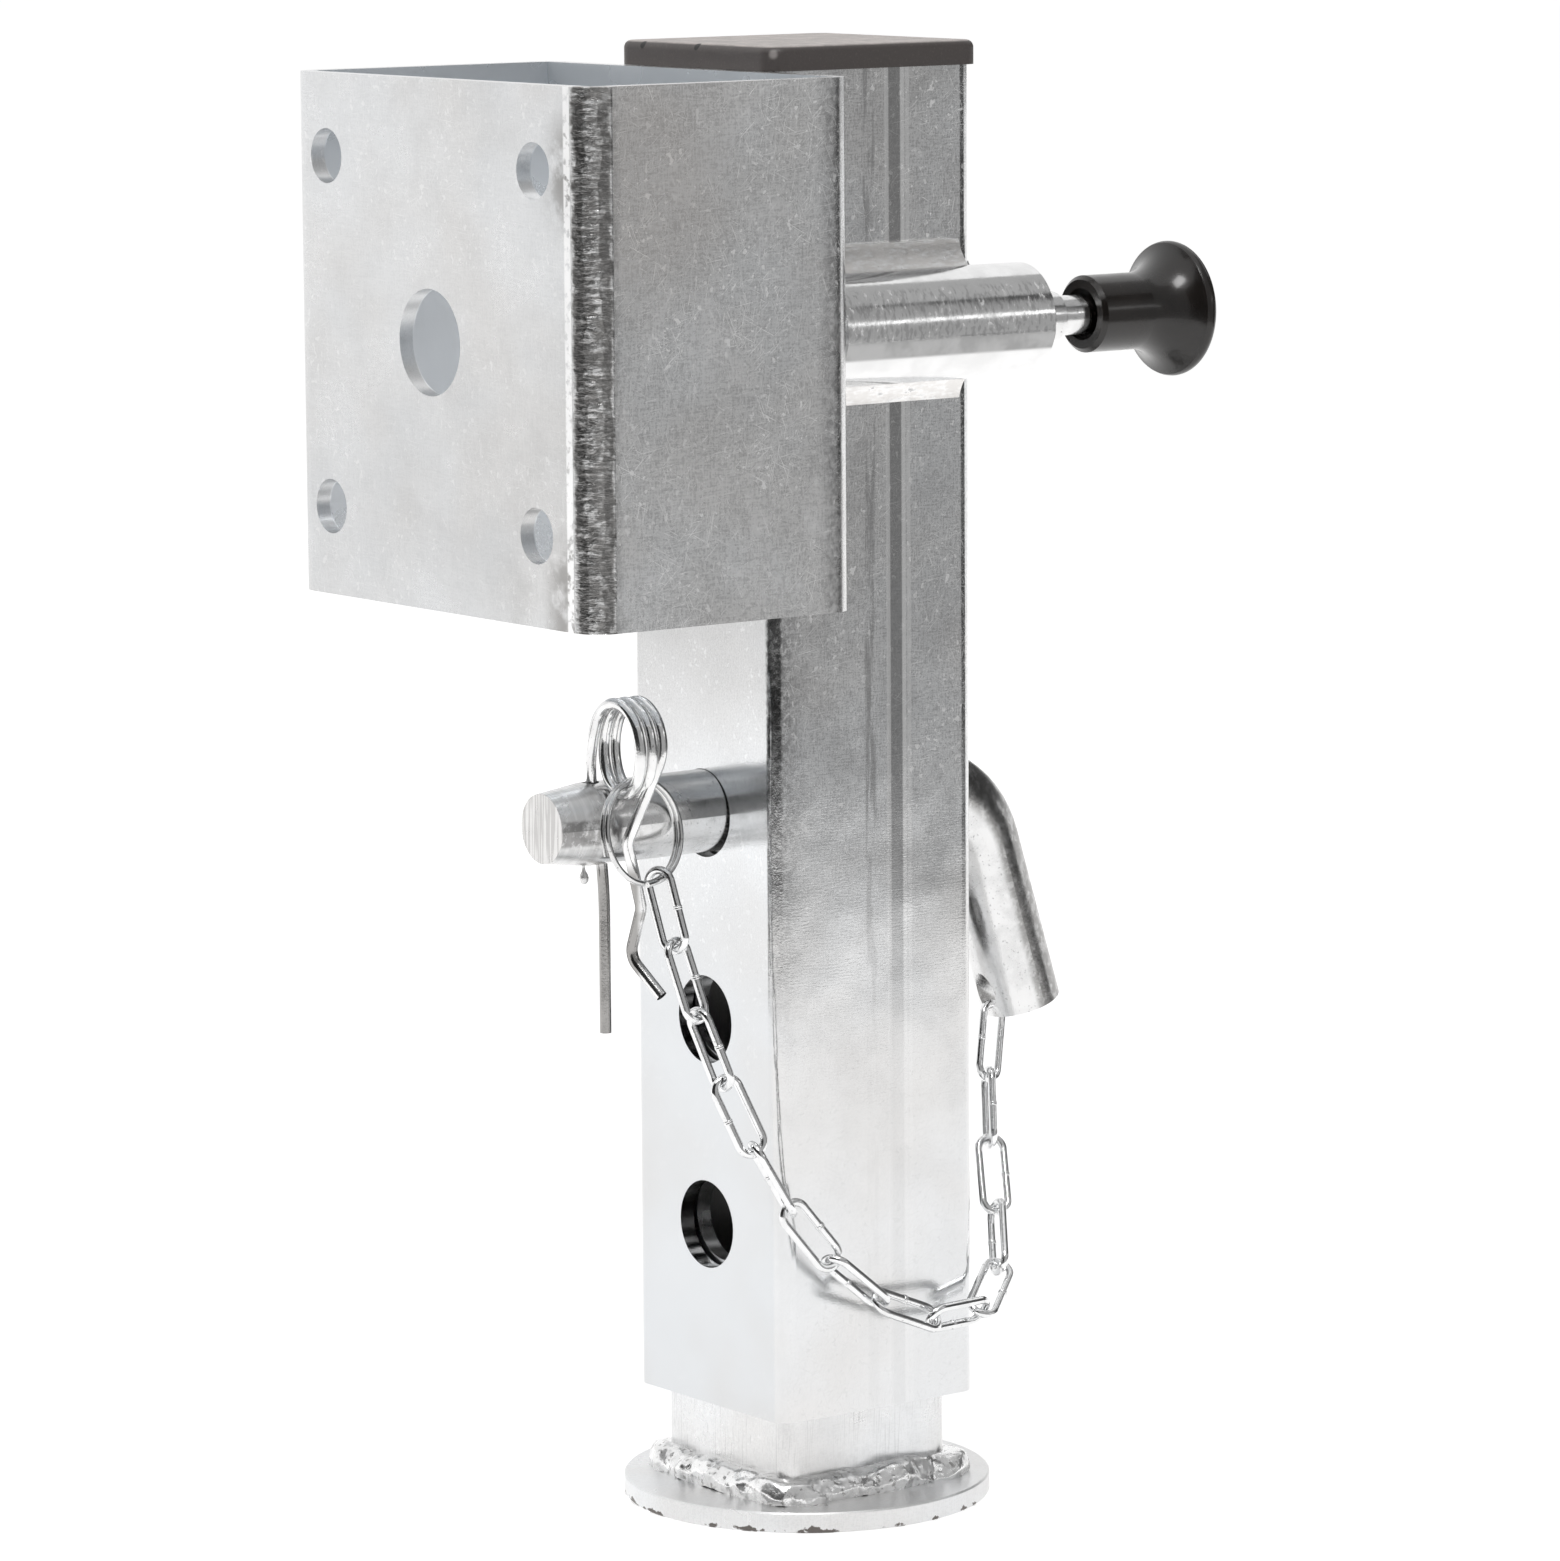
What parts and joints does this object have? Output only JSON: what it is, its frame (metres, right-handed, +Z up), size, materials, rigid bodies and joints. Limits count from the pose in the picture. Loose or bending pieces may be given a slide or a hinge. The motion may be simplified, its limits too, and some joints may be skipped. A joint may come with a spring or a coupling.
{
  "type": "trailer prop stand",
  "caption": "Telescopic square steel prop stand on a bolt-on box bracket, with a swivel bolt, sprung pull plunger, chained locking pin, spring clip and round foot.",
  "frame": {"origin": "centre of the foot disc's underside, on the ground", "axes": "+Z up along the leg; -Y the outward normal of the bracket's mounting face; +X towards the side that carries the pull plunger"},
  "size_m": [0.122, 0.1914, 0.3558],
  "materials": {
    "bracket_zinc": "satin",
    "leg_zinc": "satin",
    "weld_bead": "matte",
    "fastener_zinc": "satin",
    "bright_zinc": "gloss",
    "spring_steel": "satin",
    "chain_zinc": "gloss",
    "black_cap": "matte",
    "black_knob": "gloss"
  },
  "bodies": {
    "bracket": {"bracket_front_plate": "bracket_zinc", "bracket_rear_plate": "bracket_zinc", "bracket_front_weld": "weld_bead", "bracket_rear_weld": "weld_bead", "pivot_bolt": "fastener_zinc", "head_washer": "fastener_zinc", "pivot_spacer": "fastener_zinc", "nut_washer": "fastener_zinc", "pivot_nut": "fastener_zinc"},
    "leg": {"outer_tube": "leg_zinc", "crush_sleeve": "leg_zinc", "end_cap": "black_cap", "plunger_housing": "leg_zinc", "housing_top_weld": "weld_bead", "housing_lower_weld": "weld_bead", "plunger_bush": "bright_zinc", "plunger_spring": "spring_steel"},
    "plunger": {"plunger_rod": "bright_zinc", "plunger_knob": "black_knob"},
    "inner_leg": {"inner_tube": "leg_zinc", "foot_disc": "leg_zinc", "foot_weld": "weld_bead"},
    "pin": {"locking_pin": "bright_zinc", "r_clip": "bright_zinc", "split_ring": "spring_steel"},
    "chain": {"chain_link_01": "chain_zinc", "chain_link_02": "chain_zinc", "chain_link_03": "chain_zinc", "chain_link_04": "chain_zinc", "chain_link_05": "chain_zinc", "chain_link_06": "chain_zinc", "chain_link_07": "chain_zinc", "chain_link_08": "chain_zinc", "chain_link_09": "chain_zinc", "chain_link_10": "chain_zinc", "chain_link_11": "chain_zinc", "chain_link_12": "chain_zinc", "chain_link_13": "chain_zinc", "chain_link_14": "chain_zinc"}
  },
  "joints": [
    {"name": "leg_swivel", "type": "hinge", "parent": "bracket", "child": "leg", "pos_m": [0, 0, 0.289], "axis": [0, 1, 0], "range_deg": [0, 90]},
    {"name": "plunger_pull", "type": "slide", "parent": "leg", "child": "plunger", "axis": [0, 1, 0], "range_m": [-0.009, 0.006], "stiffness_N_per_m": 1500, "deforming": ["plunger_spring"]},
    {"name": "inner_leg_slide", "type": "slide", "parent": "leg", "child": "inner_leg", "axis": [0, 0, -1], "range_m": [0, 0.0012]},
    {"name": "pin_slide", "type": "slide", "parent": "leg", "child": "pin", "axis": [0, 1, 0], "range_m": [0, 0.012]},
    {"name": "chain_swing", "type": "hinge", "parent": "pin", "child": "chain", "pos_m": [0.01558, -0.05502, 0.16074], "axis": [0.1251, -0.9171, 0.3786], "range_deg": [0, 14]}
  ],
  "couplings": [
    {"joint": "chain_swing", "follows": "pin_slide", "rad_per_m": 20}
  ]
}
